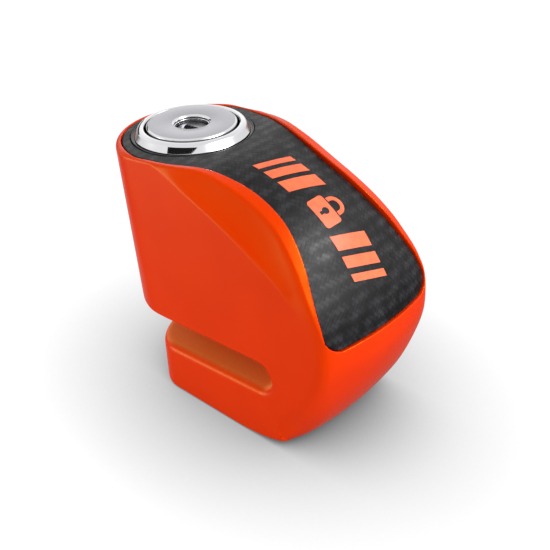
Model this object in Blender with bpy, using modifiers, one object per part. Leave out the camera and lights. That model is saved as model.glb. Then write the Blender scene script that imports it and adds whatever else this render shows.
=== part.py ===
"""Push-down disc brake lock for a motorcycle wheel, shown locked.

The base lies on Z = 0 and the origin is where the locking pin's axis meets it.
+X runs from the open jaw to the nose, Y is the width, +Z is up.  The lock's own
axis leans back by LEAN, and everything that is turned or slides sits under the
empty "lock_axis", whose local Z is that axis.  All sizes below are millimetres.
"""

import math

import bmesh
import bpy
from mathutils import Vector

MM = 0.001

# ---- driving dimensions -----------------------------------------------------
LEAN = math.radians(3.7)
HALF_WIDTH = 18.3
TOP_HALF_WIDTH = 17.8      # the sides draw in a little towards the top
TOP = 57.05                # height of the label face along the lock axis
SLOT_FLOOR = 11.5          # the jaw's upper face
SLOT_HEIGHT = 7.0
SLOT_DEPTH = 36.8          # from the pin's axis to the slot's round end
GAP = 0.3                  # between pieces that would touch
STROKE = 12.5              # how far the plunger rises when it is unlocked

RING_RADIUS = 13.0
FACE_RADIUS = 10.2
KEY_HOLE_RADIUS = 3.9
PIN_RADIUS = 3.0
BORE_RADIUS = 11.8
BORE_FLOOR = 24.0
BUSH_SEAT_RADIUS = 4.7
JAW_HOLE_DEPTH = 6.0

PANEL_THICKNESS = 1.0
PANEL_CLEARANCE = 0.2
RECESS_DEPTH = 1.9
PANEL_HOLE_RADIUS = 13.9
ADHESIVE_START = 18.0
ADHESIVE_LENGTH = 46.8
JAW_FILLET = 0.5           # rounding of the lower edge at the jaw
NOSE_FILLET = 8.0          # and where it has grown towards the nose
ROUND_STEPS = 40

SLOT_CEILING = SLOT_FLOOR + SLOT_HEIGHT

# Rear wall of the upper body: a drafted cone cut off by the flat sides.
REAR_CENTRE_LOW = 5.0
REAR_RADIUS_LOW = 18.6
REAR_CENTRE_TOP = 2.6
REAR_RADIUS_TOP = 19.05
# Tip of the lower jaw: half an ellipse.
JAW_CENTRE = 6.4
JAW_REACH = 11.0

# Side view of the upper surface: straight, then two cubics to the nose, then
# one that curls under it to the foot.
SHOULDER_X = 15.0
SHOULDER_RISE = 0.25
BROW = Vector((43.9, 45.1))
BROW_SLOPE = math.radians(-53.5)
NOSE = Vector((52.7, 26.3))
FOOT = Vector((39.6, 0.0))
FOOT_SLOPE = math.radians(7.9)

# Values along the upper surface, as (distance from the lock axis, value).
PANEL_HALF_WIDTH = ((0, 16.75), (9, 15.75), (18, 12.75), (24, 11.45), (29, 10.8), (35, 10.85),
                    (40.5, 11.5), (50, 13.85), (58, 16.1), (63.6, 16.9))
SIDE_EDGE_DEPTH = ((5, -0.4), (10, 2.0), (16, 4.8), (25, 7.2), (34, 8.3), (43, 8.1), (52.7, 6.3),
                   (61.6, 4.2), (69, 3.2), (78, 2.8), (88, 3.2), (96, 4.4), (103, 5.6))
PANEL_BACK = -15.2
PANEL_BACK_RADIUS = 16.95
PANEL_ROUND_END = 4.0
PANEL_END = 68.2
PANEL_CORNER = 4.4
CROWN_RADIUS = 40.0        # across the waist, then flatter towards the nose
CROWN_RADIUS_NOSE = 63.5
CROWN_RADIUS_LOW = 114.0
CROWN_RADIUS_FOOT = 80.0
BLOCK_BACK = -24.0

# Heights along the lock axis of the plunger's inner steps.
BARREL_BOTTOM = 27.0
WEB_BOTTOM = 31.5
WEB_TOP = 34.0
CHAMBER_FLOOR = 36.3
CHAMBER_RADIUS = 7.75
BARREL_TOP = 57.3
CAP_BOTTOM = 57.6
CAP_TOP = 59.45
WIPER_BOTTOM = 54.3
WIPER_THICKNESS = 0.8
SLEEVE_BORE = FACE_RADIUS + 0.2
SPIGOT_RADIUS = BORE_RADIUS - GAP
WASHER_THICKNESS = 0.6
SPRING_WIRE = 0.6          # radius of the wire
SPRING_RADIUS = 5.5        # from the axis to the middle of the wire
SPRING_TURNS = 3
PIN_HEAD_RADIUS = 4.4
PIN_HEAD_TOP = 36.0
CLIP_GROOVE_BOTTOM = 30.3
CLIP_GROOVE_TOP = 31.3
CLIP_THICKNESS = 0.6
BALL_RADIUS = 2.0
BALL_HEIGHT = 38.0
BALL_ORBIT = 9.6           # distance of a ball's centre from the axis, locked
BALL_TRAVEL = 1.6
DISC_COUNT = 6
DISC_RADIUS = 6.1
DISC_THICKNESS = 1.3
SPACER_THICKNESS = 0.4
CAGE_RADIUS = 7.4
CAGE_BORE = 6.4
CAGE_BOTTOM = 39.9
CAGE_TOP = 56.4
CAGE_FLOOR = 41.4
GUARD_BOTTOM = 54.8
GUARD_TOP = 57.9
GUARD_NECK = 3.5           # radius of the guard inside the cap's key hole
SIDEBAR_BOTTOM = 42.6
SIDEBAR_TOP = 53.5
SIDEBAR_INNER = 6.7
SIDEBAR_OUTER = 7.3
SIDEBAR_HALF_WIDTH = 0.9
DISC_STACK_BOTTOM = 41.7
KEYWAY_RADIUS = 2.5
DISC_NOTCH_STEP = 18.0     # degrees between the code positions

PAINT = ((0.78, 0.065, 0.008), 0.25, 0.0)
CARBON = ((0.022, 0.023, 0.025), 0.35, 0.0)
FOAM = ((0.10, 0.10, 0.10), 0.9, 0.0)
CHROME = ((0.80, 0.80, 0.82), 0.06, 1.0)
SATIN = ((0.62, 0.62, 0.65), 0.28, 1.0)
STEEL = ((0.50, 0.50, 0.52), 0.30, 1.0)
HARD_STEEL = ((0.36, 0.37, 0.40), 0.25, 1.0)
BRASS = ((0.72, 0.50, 0.20), 0.30, 1.0)
RUBBER = ((0.02, 0.02, 0.02), 0.75, 0.0)


# ---- small helpers ----------------------------------------------------------
def clear_scene():
    for obj in list(bpy.data.objects):
        bpy.data.objects.remove(obj, do_unlink=True)


def collection(name):
    found = bpy.data.collections.get(name) or bpy.data.collections.new(name)
    if found.name not in bpy.context.scene.collection.children:
        bpy.context.scene.collection.children.link(found)
    return found


def material(name, finish):
    colour, roughness, metallic = finish
    made = bpy.data.materials.new(name)
    made.use_nodes = True
    shader = made.node_tree.nodes["Principled BSDF"]
    shader.inputs["Base Color"].default_value = (*colour, 1.0)
    shader.inputs["Roughness"].default_value = roughness
    shader.inputs["Metallic"].default_value = metallic
    return made


def place(obj, finish=None, parent=None, location=(0, 0, 0)):
    """Link a piece to the lock, or a cutter (no finish) to the cutters."""
    if finish is None:
        CUTTERS.objects.link(obj)
        obj.hide_render = True
        obj.display_type = "WIRE"
    else:
        PIECES.objects.link(obj)
        obj.data.materials.clear()
        obj.data.materials.append(material(obj.name + "_finish", finish))
    obj.parent = parent
    obj.location = Vector(location) * MM
    return obj


def mesh_object(name, verts, faces):
    mesh = bpy.data.meshes.new(name)
    mesh.from_pydata([Vector(v) * MM for v in verts], [], faces)
    mesh.validate()
    shell = bmesh.new()
    shell.from_mesh(mesh)
    bmesh.ops.recalc_face_normals(shell, faces=shell.faces)
    shell.to_mesh(mesh)
    shell.free()
    mesh.shade_smooth()
    mesh.set_sharp_from_angle(angle=math.radians(35))
    return bpy.data.objects.new(name, mesh)


def turned(name, profile, steps=ROUND_STEPS, closed=True):
    """Solid of revolution about local Z; the profile's outer side runs downwards."""
    mesh = bpy.data.meshes.new(name)
    count = len(profile)
    edges = [(i, i + 1) for i in range(count - 1)]
    if closed:
        edges.append((count - 1, 0))
    mesh.from_pydata([Vector((r, 0, z)) * MM for r, z in profile], edges, [])
    obj = bpy.data.objects.new(name, mesh)
    screw = obj.modifiers.new("turn", "SCREW")
    screw.steps = steps
    screw.render_steps = steps
    screw.use_merge_vertices = True
    screw.merge_threshold = 0.00001
    return obj


def tube_profile(inner, outer, bottom, top):
    return [(inner, top), (outer, top), (outer, bottom), (inner, bottom)]


def curve_mesh(name, curve):
    """The welded mesh of a curve, as a new object."""
    holder = bpy.data.objects.new(name + "_curve", curve)
    bpy.context.scene.collection.objects.link(holder)
    seen = holder.evaluated_get(bpy.context.evaluated_depsgraph_get())
    mesh = bpy.data.meshes.new_from_object(seen)
    bpy.data.objects.remove(holder, do_unlink=True)
    mesh.name = name
    shell = bmesh.new()
    shell.from_mesh(mesh)
    bmesh.ops.remove_doubles(shell, verts=shell.verts, dist=0.000002)
    bmesh.ops.recalc_face_normals(shell, faces=shell.faces)
    shell.to_mesh(mesh)
    shell.free()
    mesh.shade_smooth()
    mesh.set_sharp_from_angle(angle=math.radians(35))
    return bpy.data.objects.new(name, mesh)


def plate(name, outlines, bottom, top):
    """A flat plate in local XY between two heights; inner outlines are holes."""
    curve = bpy.data.curves.new(name, "CURVE")
    curve.dimensions = "2D"
    curve.fill_mode = "BOTH"
    curve.extrude = (top - bottom) / 2 * MM
    for outline in outlines:
        spline = curve.splines.new("POLY")
        spline.points.add(len(outline) - 1)
        for point, (x, y) in zip(spline.points, outline):
            point.co = (x * MM, y * MM, 0.0, 1.0)
        spline.use_cyclic_u = True
    obj = curve_mesh(name, curve)
    for vertex in obj.data.vertices:
        vertex.co.z += (top + bottom) / 2 * MM
    return obj


def box(name, low, high):
    shell = bmesh.new()
    bmesh.ops.create_cube(shell, size=1.0)
    low, high = Vector(low) * MM, Vector(high) * MM
    for vertex in shell.verts:
        vertex.co = Vector(((vertex.co[k] + 0.5) * (high[k] - low[k]) + low[k]) for k in range(3))
    mesh = bpy.data.meshes.new(name)
    shell.to_mesh(mesh)
    shell.free()
    return bpy.data.objects.new(name, mesh)


def cut(target, cutter, operation="DIFFERENCE"):
    modifier = target.modifiers.new(cutter.name, "BOOLEAN")
    modifier.operation = operation
    modifier.solver = "EXACT"
    modifier.object = cutter


def arc(radius, start, end, count, centre=(0.0, 0.0)):
    angles = [math.radians(start + (end - start) * i / count) for i in range(count + 1)]
    return [(centre[0] + radius * math.cos(a), centre[1] + radius * math.sin(a)) for a in angles]


def circle(radius, count=ROUND_STEPS):
    return arc(radius, 0, 360 * (count - 1) / count, count - 1)


def smooth_step(low, high, x):
    t = min(max((x - low) / (high - low), 0.0), 1.0)
    return t * t * (3 - 2 * t)


def through(knots, x):
    """A smooth curve through (position, value) knots, level beyond its ends."""
    if x <= knots[0][0]:
        return knots[0][1]
    if x >= knots[-1][0]:
        return knots[-1][1]
    i = max(k for k in range(len(knots) - 1) if knots[k][0] <= x)

    def slope(k):
        a, b = knots[max(k - 1, 0)], knots[min(k + 1, len(knots) - 1)]
        return (b[1] - a[1]) / (b[0] - a[0])

    (x0, y0), (x1, y1) = knots[i], knots[i + 1]
    h = x1 - x0
    t = (x - x0) / h
    return (y0 * (1 + 2 * t) * (1 - t) ** 2 + h * slope(i) * t * (1 - t) ** 2
            + y1 * t * t * (3 - 2 * t) + h * slope(i + 1) * t * t * (t - 1))


# ---- the body's surface -----------------------------------------------------
def leaned(x, z):
    """World (X, Z) of a point given along and up the leaning lock axis."""
    return Vector((x * math.cos(LEAN) - z * math.sin(LEAN), x * math.sin(LEAN) + z * math.cos(LEAN)))


def bezier(a, b, c, d, count):
    out = []
    for i in range(1, count + 1):
        t = i / count
        u = 1 - t
        out.append(a * u ** 3 + b * (3 * u * u * t) + c * (3 * u * t * t) + d * t ** 3)
    return out


def direction(angle):
    return Vector((math.cos(angle), math.sin(angle)))


def side_profile():
    """Points of the upper surface at mid width, from behind the lock to the foot."""
    start = leaned(0, TOP)
    shoulder = leaned(SHOULDER_X, TOP + SHOULDER_RISE)
    along = direction(LEAN)
    points = [leaned(BLOCK_BACK, TOP), start]
    points += bezier(start, start + along * 5, shoulder - along * 6, shoulder, 20)
    points += bezier(shoulder, shoulder + along * 15, BROW - direction(BROW_SLOPE) * 9, BROW, 50)
    points += bezier(BROW, BROW + direction(BROW_SLOPE) * 7.85, NOSE + Vector((0, 8.6)), NOSE, 40)
    points += bezier(NOSE, NOSE - Vector((0, 8.06)), FOOT + direction(FOOT_SLOPE) * 4.5, FOOT, 50)
    return points


class Profile:
    """The side profile, addressed by its distance from the lock axis."""

    def __init__(self, points):
        self.points = points
        self.lengths = [BLOCK_BACK]
        for a, b in zip(points, points[1:]):
            self.lengths.append(self.lengths[-1] + (b - a).length)
        self.end = self.lengths[-1]

    def point(self, s):
        s = min(max(s, self.lengths[0]), self.end)
        i = next(k for k in range(1, len(self.lengths)) if self.lengths[k] >= s - 1e-9)
        a, b = self.lengths[i - 1], self.lengths[i]
        return self.points[i - 1].lerp(self.points[i], (s - a) / (b - a))

    def normal(self, s):
        step = 0.4
        tangent = (self.point(s + step) - self.point(s - step)).normalized()
        return Vector((-tangent.y, tangent.x))

    def surface(self, s, y, depth):
        at = self.point(s) - self.normal(s) * depth
        return (at.x, y, at.y)


def crown(s, y):
    curvature = smooth_step(14.6, 34, s) / CROWN_RADIUS
    curvature += smooth_step(44, 60, s) * (1 / CROWN_RADIUS_NOSE - 1 / CROWN_RADIUS)
    curvature += smooth_step(70, 95, s) * (1 / CROWN_RADIUS_LOW - 1 / CROWN_RADIUS_NOSE)
    curvature += smooth_step(84, 101, s) * (1 / CROWN_RADIUS_FOOT - 1 / CROWN_RADIUS_LOW)
    return curvature * y * y / 2


def rim_height(s):
    """How far the painted rim stands above the panel."""
    high = 0.15 + 0.35 * smooth_step(0, 20, s) + 0.6 * smooth_step(16, 34, s)
    high -= 0.5 * smooth_step(46, 62, s)
    return high * (1 - smooth_step(66, 80, s))


def shoulder_width(s):
    """Half width of the top where it breaks into the hollow along each side."""
    rim = 1.5 + smooth_step(0, 16, s) + 0.8 * smooth_step(14, 30, s) - 0.6 * smooth_step(42, 56, s)
    upper = min(through(PANEL_HALF_WIDTH, s) + rim, HALF_WIDTH - 0.5)
    return upper + (12.0 - upper) * smooth_step(62, 76, s)


def body_depth(s, y):
    """Depth of the casting's skin below the side profile, at half width y."""
    edge = shoulder_width(s)
    crown_edge = crown(s, HALF_WIDTH)
    drop = through(SIDE_EDGE_DEPTH, s) - crown_edge + rim_height(s)
    t = max((y - edge) / (HALF_WIDTH - edge), 0.0)
    hollow = 0.75 * (1 - (1 - min(t, 1.0)) ** 2) + 0.25 * t
    rounded = t * t
    share = smooth_step(60, 74, s)
    return crown(s, y) - rim_height(s) + drop * (hollow * (1 - share) + rounded * share)


def body_columns(s):
    """Half widths of the loft's columns at one station, from the middle outwards."""
    edge = shoulder_width(s)
    inner = [edge * f for f in (0.0, 0.25, 0.5, 0.75, 0.92)]
    outer = [edge + (HALF_WIDTH - edge) * f for f in (0.0, 0.16, 0.36, 0.62, 0.84, 1.0)]
    return inner + outer + [HALF_WIDTH + 2.0]


def profile_block(profile):
    """Everything under the upper surface and the nose, wider than the lock."""
    stations = [BLOCK_BACK, 0.0, 3.0] + [5.0 + 2.0 * i for i in range(49)] + [profile.end]
    rings = []
    for s in stations:
        half = [(y, body_depth(s, y)) for y in body_columns(s)]
        row = [profile.surface(s, -y, d) for y, d in reversed(half[1:])]
        row += [profile.surface(s, y, d) for y, d in half]
        rings.append(row)
    widths = [-y for y in reversed(body_columns(profile.end)[1:])] + body_columns(profile.end)
    for x in (30.0, 0.0, BLOCK_BACK - 2.0):
        rings.append([(x, y, 0.0) for y in widths])
    columns = len(widths)
    verts = [v for row in rings for v in row]
    faces = []
    count = len(rings)
    for i in range(count):
        j = (i + 1) % count
        for c in range(columns - 1):
            faces.append((i * columns + c, i * columns + c + 1, j * columns + c + 1, j * columns + c))
    faces.append([i * columns for i in range(count)])
    faces.append([i * columns + columns - 1 for i in reversed(range(count))])
    return mesh_object("body_casting", verts, faces)


def base_inset(z, x):
    """How far the lower edge is rounded off at height z."""
    radius = JAW_FILLET + (NOSE_FILLET - JAW_FILLET) * smooth_step(26, 60, x)
    return radius - math.sqrt(radius ** 2 - max(radius - max(z, 0.0), 0.0) ** 2)


def plan_half(z, jaw):
    """Half of the lock's outline seen from above at height z, rear middle first."""
    steps = 14
    inset = base_inset(z, 0.0) if jaw else 0.0
    if jaw:
        half = HALF_WIDTH - inset
        reach = JAW_REACH - inset
        points = [(JAW_CENTRE - reach * math.cos(a), half * math.sin(a))
                  for a in (math.pi / 2 * i / steps for i in range(steps + 1))]
    else:
        up = (z - SLOT_CEILING) / (TOP - SLOT_CEILING)
        centre = REAR_CENTRE_LOW + (REAR_CENTRE_TOP - REAR_CENTRE_LOW) * up
        radius = REAR_RADIUS_LOW + (REAR_RADIUS_TOP - REAR_RADIUS_LOW) * up
        half = HALF_WIDTH + (TOP_HALF_WIDTH - HALF_WIDTH) * up
        last = math.asin(half / radius)
        points = [(centre - radius * math.cos(a), radius * math.sin(a))
                  for a in (last * i / steps for i in range(steps + 1))]
    for x in (18.0, 28.0, 36.0, 44.0, 52.0, 62.0):
        points.append((x, half + inset - (base_inset(z, x) if jaw else 0.0)))
    return [(x / math.cos(LEAN) - z * math.tan(LEAN), y, z) for x, y in points]


def plan_block():
    """The outline from above, drawn out to full height with a rounded lower edge."""
    levels = [(z, True) for z in (-1.0, 0.0, 0.15, 0.5, 1.0, 1.8, 3.0, 5.0, 8.0, 12.3)]
    levels += [(17.0, False), (36.0, False), (TOP + 6, False)]
    rings = []
    for z, jaw in levels:
        half = plan_half(z, jaw)
        rings.append([(x, -y, h) for x, y, h in reversed(half[1:])] + half)
    size = len(rings[0])
    verts = [v for ring in rings for v in ring]
    faces = []
    for i in range(len(rings) - 1):
        for c in range(size):
            n = (c + 1) % size
            faces.append((i * size + c, i * size + n, (i + 1) * size + n, (i + 1) * size + c))
    faces.append([c for c in reversed(range(size))])
    faces.append([(len(rings) - 1) * size + c for c in range(size)])
    return mesh_object("plan_block", verts, faces)


# ---- the panel --------------------------------------------------------------
def panel_half_width(s, grow):
    """Half width of the panel: round behind the ring, waisted, with round corners."""
    centre = PANEL_BACK + PANEL_BACK_RADIUS
    if s < PANEL_ROUND_END:
        return math.sqrt(max((PANEL_BACK_RADIUS + grow) ** 2 - (s - centre) ** 2, 0.0))
    width = through(PANEL_HALF_WIDTH, s) + grow
    start = PANEL_END - PANEL_CORNER
    corner = PANEL_CORNER + grow
    if s > start:
        width += math.sqrt(max(corner ** 2 - (s - start) ** 2, 0.0)) - corner
    return width


def panel_stations(first, last):
    """Stations close together where the outline turns quickly."""
    turn = PANEL_ROUND_END - first
    back = [first + turn * (1 - math.cos(math.pi / 2 * i / 7)) for i in range(7)]
    start = PANEL_END - PANEL_CORNER
    middle = [PANEL_ROUND_END + (start - PANEL_ROUND_END) * i / 19 for i in range(20)]
    corner = [start + (last - start) * math.sin(math.pi / 2 * i / 5) for i in range(1, 6)]
    return back + middle + corner


def panel_sheet(name, profile, stations, grow, depth, thickness):
    """A sheet that follows the crowned top, `grow` wider than the panel all round."""
    sheet_rows = []
    for s in stations:
        half = max(panel_half_width(s, grow), 0.6)
        row = []
        for f in (-1.0, -0.66, -0.33, 0.0, 0.33, 0.66, 1.0):
            y = half * f
            tilt = math.atan(2 * crown(s, half) * f / half)
            sunk = crown(s, y) + depth * math.cos(tilt)
            row.append(profile.surface(s, y - depth * math.sin(tilt), sunk))
        sheet_rows.append(row)
    columns = len(sheet_rows[0])
    verts = [v for row in sheet_rows for v in row]
    faces = [(i * columns + c, i * columns + c + 1, (i + 1) * columns + c + 1, (i + 1) * columns + c)
             for i in range(len(sheet_rows) - 1) for c in range(columns - 1)]
    obj = mesh_object(name, verts, faces)
    if obj.data.polygons[0].normal.z < 0:
        obj.data.flip_normals()
    solid = obj.modifiers.new("thickness", "SOLIDIFY")
    solid.thickness = thickness * MM
    solid.offset = -1.0
    return obj


def panel_pieces(profile, body):
    stations = panel_stations(PANEL_BACK, PANEL_END)
    panel = place(panel_sheet("label_panel", profile, stations, 0.0, 0.0, PANEL_THICKNESS), CARBON)
    hole = place(turned("panel_hole", tube_axis(PANEL_HOLE_RADIUS, TOP - 6, TOP + 6), closed=False),
                 parent=AXIS)
    cut(panel, hole)
    wider = panel_stations(PANEL_BACK - PANEL_CLEARANCE, PANEL_END + PANEL_CLEARANCE)
    recess = place(panel_sheet("panel_recess", profile, wider, PANEL_CLEARANCE, -2.0,
                               2.0 + RECESS_DEPTH))
    cut(body, recess)
    middle = [ADHESIVE_START + ADHESIVE_LENGTH * i / 12 for i in range(13)]
    place(panel_sheet("panel_adhesive", profile, middle, -1.5,
                      PANEL_THICKNESS + GAP, RECESS_DEPTH - PANEL_THICKNESS - 2 * GAP), FOAM)


def tube_axis(radius, bottom, top):
    """Open profile of a plain cylinder, from the axis at the top to the axis below."""
    return [(0.0, top), (radius, top), (radius, bottom), (0.0, bottom)]


# ---- the casting ------------------------------------------------------------
def slot_cutter():
    """Flat through slot, open at the rear and round at its inner end."""
    radius = SLOT_HEIGHT / 2
    middle = SLOT_FLOOR + radius
    end = arc(radius, -90, 90, 12, (SLOT_DEPTH - radius, middle))
    outline = [(-40.0, SLOT_FLOOR)] + end + [(-40.0, SLOT_CEILING)]
    cutter = plate("slot_cutter", [outline], -HALF_WIDTH - 4, HALF_WIDTH + 4)
    cutter.rotation_euler = (math.pi / 2, 0, 0)
    return place(cutter, parent=AXIS)


def casting_bore():
    """Bore from the top, guide-bush seat through the web, blind hole in the jaw."""
    pin_hole = PIN_RADIUS + GAP
    profile = [(0.0, TOP + 8), (BORE_RADIUS, TOP + 8), (BORE_RADIUS, BORE_FLOOR),
               (BUSH_SEAT_RADIUS, BORE_FLOOR), (BUSH_SEAT_RADIUS, SLOT_FLOOR + 3.0),
               (pin_hole, SLOT_FLOOR + 3.0),
               (pin_hole, SLOT_FLOOR - JAW_HOLE_DEPTH), (0.0, SLOT_FLOOR - JAW_HOLE_DEPTH - 1.2)]
    return place(turned("casting_bore", profile, closed=False), parent=AXIS)


def make_casting(profile):
    body = place(profile_block(profile), PAINT)
    cut(body, place(plan_block()), "INTERSECT")
    cut(body, slot_cutter())
    panel_pieces(profile, body)
    cut(body, casting_bore())
    return body


# ---- ring, sleeve and seals -------------------------------------------------
def make_ring():
    """Domed ring round the plunger, with a spigot down into the casting's bore."""
    inner, crest, seat, foot = 10.65, 10.95, 57.4, 55.4
    side, rise = RING_RADIUS - crest, 1.4
    dome = [(crest + side * math.sin(a), seat + GAP + rise * math.cos(a))
            for a in (math.pi / 2 * i / 7 for i in range(8))]
    profile = [(inner, 58.85)] + dome + [(RING_RADIUS, seat), (SPIGOT_RADIUS, seat)]
    profile += [(SPIGOT_RADIUS, foot), (inner, foot)]
    place(turned("bezel_ring", profile, 56), CHROME, AXIS)
    gasket = tube_profile(BORE_RADIUS + GAP, PANEL_HOLE_RADIUS - GAP, TOP - RECESS_DEPTH + GAP, seat - GAP)
    place(turned("bezel_gasket", gasket, 48), RUBBER, AXIS)
    wiper = tube_profile(SLEEVE_BORE, SPIGOT_RADIUS, WIPER_BOTTOM, WIPER_BOTTOM + WIPER_THICKNESS)
    place(turned("wiper_seal", wiper), RUBBER, AXIS)


def make_sleeve():
    """Hardened liner with two long windows in which the latch balls travel."""
    tube = tube_profile(SLEEVE_BORE, SPIGOT_RADIUS, BORE_FLOOR + GAP, WIPER_BOTTOM - GAP)
    sleeve = place(turned("liner_sleeve", tube), HARD_STEEL, AXIS)
    half = BALL_RADIUS + 0.4
    low, high = BALL_HEIGHT, BALL_HEIGHT + STROKE
    outline = arc(half, 180, 360, 8, (0.0, low)) + arc(half, 0, 180, 8, (0.0, high))
    window = plate("sleeve_window", [outline], -BORE_RADIUS - 2, BORE_RADIUS + 2)
    window.rotation_euler = (math.pi / 2, 0, 0)
    cut(sleeve, place(window, parent=AXIS))
    bush = tube_profile(PIN_RADIUS + 0.15, BUSH_SEAT_RADIUS - GAP, SLOT_CEILING + GAP, BORE_FLOOR - GAP)
    place(turned("pin_guide_bush", bush, 28), HARD_STEEL, AXIS)
    washer = tube_profile(PIN_RADIUS + 0.4, 7.0, BORE_FLOOR + GAP, BORE_FLOOR + GAP + WASHER_THICKNESS)
    place(turned("spring_washer", washer, 28), STEEL, AXIS)


def make_spring():
    per_turn = 14
    low = BORE_FLOOR + GAP + WASHER_THICKNESS + GAP + SPRING_WIRE
    high = WEB_BOTTOM - GAP - SPRING_WIRE
    curve = bpy.data.curves.new("return_spring", "CURVE")
    curve.dimensions = "3D"
    curve.bevel_depth = SPRING_WIRE * MM
    curve.bevel_resolution = 2
    curve.use_fill_caps = True
    spline = curve.splines.new("POLY")
    count = SPRING_TURNS * per_turn
    spline.points.add(count)
    for i, point in enumerate(spline.points):
        angle = 2 * math.pi * i / per_turn
        height = low + (high - low) * i / count
        around = Vector((SPRING_RADIUS * math.cos(angle), SPRING_RADIUS * math.sin(angle), height))
        point.co = (*(around * MM), 1.0)
    place(curve_mesh("return_spring", curve), STEEL, AXIS)


# ---- the plunger ------------------------------------------------------------
def make_barrel():
    pin_hole = PIN_RADIUS + GAP
    head_seat = PIN_HEAD_RADIUS + 0.4
    skirt_bore = SPRING_RADIUS + SPRING_WIRE + 1.3
    profile = [(CHAMBER_RADIUS, BARREL_TOP), (FACE_RADIUS, BARREL_TOP), (FACE_RADIUS, BARREL_BOTTOM),
               (skirt_bore, BARREL_BOTTOM), (skirt_bore, WEB_BOTTOM), (pin_hole, WEB_BOTTOM),
               (pin_hole, WEB_TOP), (head_seat, WEB_TOP), (head_seat, CHAMBER_FLOOR),
               (CHAMBER_RADIUS, CHAMBER_FLOOR)]
    barrel = place(turned("plunger_barrel", profile), SATIN, PLUNGER)
    holes = turned("ball_holes", tube_axis(BALL_RADIUS + 0.2, -14.0, 14.0), 20, closed=False)
    holes.rotation_euler = (math.pi / 2, 0, 0)
    cut(barrel, place(holes, parent=PLUNGER, location=(0, 0, BALL_HEIGHT)))
    half, low, high = SIDEBAR_HALF_WIDTH + 0.5, SIDEBAR_BOTTOM - 0.6, SIDEBAR_TOP + 0.7
    groove = place(box("sidebar_groove", (6.0, -half, low), (8.6, half, high)), parent=PLUNGER)
    cut(barrel, groove)


def make_plunger():
    make_barrel()
    edge = 0.35
    cap = [(KEY_HOLE_RADIUS, CAP_TOP - edge), (KEY_HOLE_RADIUS + edge, CAP_TOP),
           (FACE_RADIUS - edge, CAP_TOP), (FACE_RADIUS, CAP_TOP - edge),
           (FACE_RADIUS, CAP_BOTTOM), (KEY_HOLE_RADIUS, CAP_BOTTOM)]
    place(turned("plunger_cap", cap, 48), SATIN, PLUNGER)
    tip = SLOT_FLOOR - JAW_HOLE_DEPTH + 1.0
    point, groove = 0.8, PIN_RADIUS - 0.5
    pin = [(0.0, PIN_HEAD_TOP), (PIN_HEAD_RADIUS, PIN_HEAD_TOP), (PIN_HEAD_RADIUS, WEB_TOP + GAP),
           (PIN_RADIUS, WEB_TOP + GAP), (PIN_RADIUS, CLIP_GROOVE_TOP), (groove, CLIP_GROOVE_TOP),
           (groove, CLIP_GROOVE_BOTTOM), (PIN_RADIUS, CLIP_GROOVE_BOTTOM),
           (PIN_RADIUS, tip + point), (PIN_RADIUS - point, tip), (0.0, tip)]
    place(turned("locking_pin", pin, 32, closed=False), HARD_STEEL, PLUNGER)
    clip = arc(PIN_HEAD_RADIUS, 25, 335, 18) + arc(groove + 0.25, 335, 25, 18)
    low = CLIP_GROOVE_BOTTOM + 0.2
    place(plate("pin_circlip", [clip], low, low + CLIP_THICKNESS), STEEL, PLUNGER)


# ---- the lock core ----------------------------------------------------------
def half_moon(radius):
    """The D-shaped keyway."""
    return arc(radius, 180, 360, 10, (0.0, 0.9))


def cam_outline():
    """Holds both balls out at +-Y; a quarter turn back lets them sink inwards."""
    count = 48
    outline = []
    for i in range(count):
        angle = 360.0 * i / count
        away = abs((angle + 90.0) % 180.0 - 90.0)
        radius = BALL_ORBIT - BALL_RADIUS - GAP - BALL_TRAVEL * away / 90.0
        outline.append((radius * math.sin(math.radians(angle)), radius * math.cos(math.radians(angle))))
    return outline


def make_rotor():
    """Cage that carries the discs, with the cam below and the drill guard on top."""
    cage = [(0.0, CAGE_FLOOR), (CAGE_BORE, CAGE_FLOOR), (CAGE_BORE, CAGE_TOP),
            (CAGE_RADIUS, CAGE_TOP), (CAGE_RADIUS, CAGE_BOTTOM), (0.0, CAGE_BOTTOM)]
    rotor = place(turned("rotor_cage", cage, closed=False), BRASS, ROTOR)
    half, low, high = SIDEBAR_HALF_WIDTH + 0.3, SIDEBAR_BOTTOM - 0.4, SIDEBAR_TOP + 0.4
    cut(rotor, place(box("rotor_slot", (5.6, -half, low), (8.2, half, high)), parent=ROTOR))
    place(plate("latch_cam", [cam_outline()], CHAMBER_FLOOR + GAP, CAGE_BOTTOM - GAP), HARD_STEEL, ROTOR)
    bevel = 0.2
    guard = [(0.0, GUARD_TOP), (GUARD_NECK - bevel, GUARD_TOP), (GUARD_NECK, GUARD_TOP - bevel),
             (GUARD_NECK, CAGE_TOP), (DISC_RADIUS, CAGE_TOP), (DISC_RADIUS, GUARD_BOTTOM),
             (0.0, GUARD_BOTTOM)]
    face = place(turned("drill_guard", guard, closed=False), HARD_STEEL, ROTOR)
    outline = [half_moon(KEYWAY_RADIUS)]
    cut(face, place(plate("keyway_cutter", outline, GUARD_BOTTOM - 1, GUARD_TOP + 1), parent=ROTOR))
    low, high = (SIDEBAR_INNER, -SIDEBAR_HALF_WIDTH), (SIDEBAR_OUTER, SIDEBAR_HALF_WIDTH)
    place(box("sidebar", (*low, SIDEBAR_BOTTOM), (*high, SIDEBAR_TOP)), STEEL, SIDEBAR)


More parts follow.
